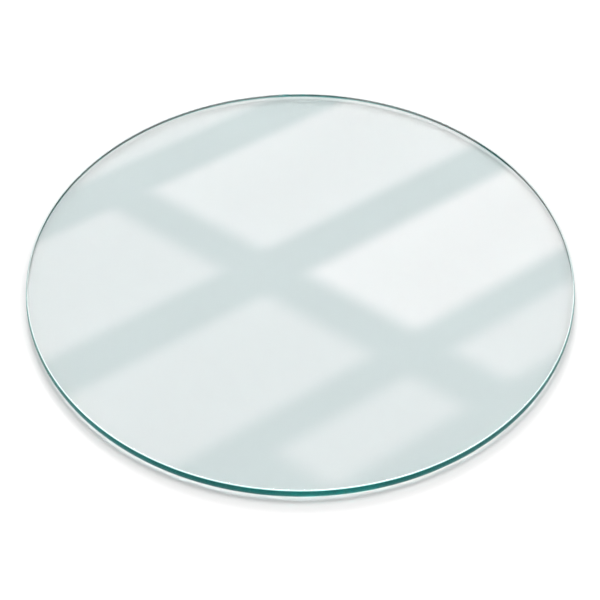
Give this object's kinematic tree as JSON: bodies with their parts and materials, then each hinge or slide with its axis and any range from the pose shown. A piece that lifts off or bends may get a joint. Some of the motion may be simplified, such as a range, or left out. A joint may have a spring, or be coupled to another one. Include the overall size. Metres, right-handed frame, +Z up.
{
  "type": "flat round glass plate",
  "caption": "Flat round plate of clear float glass, ordered as a watch glass, with a slightly rounded polished edge and a fine ground arris along both rims.",
  "frame": {"origin": "centre of the underside, on the surface that the plate lies on", "axes": "+Z up along the plate's axis of revolution; X and Y lie in the underside and point anywhere, because the plate is round"},
  "size_m": [0.6, 0.6, 0.01],
  "materials": {
    "float_glass": "clear and polished on both faces and on the edge wall, fine-ground on the arrises, blue-green seen edge-on"
  },
  "bodies": {
    "root": {"glass_disc": "float_glass"}
  },
  "joints": []
}
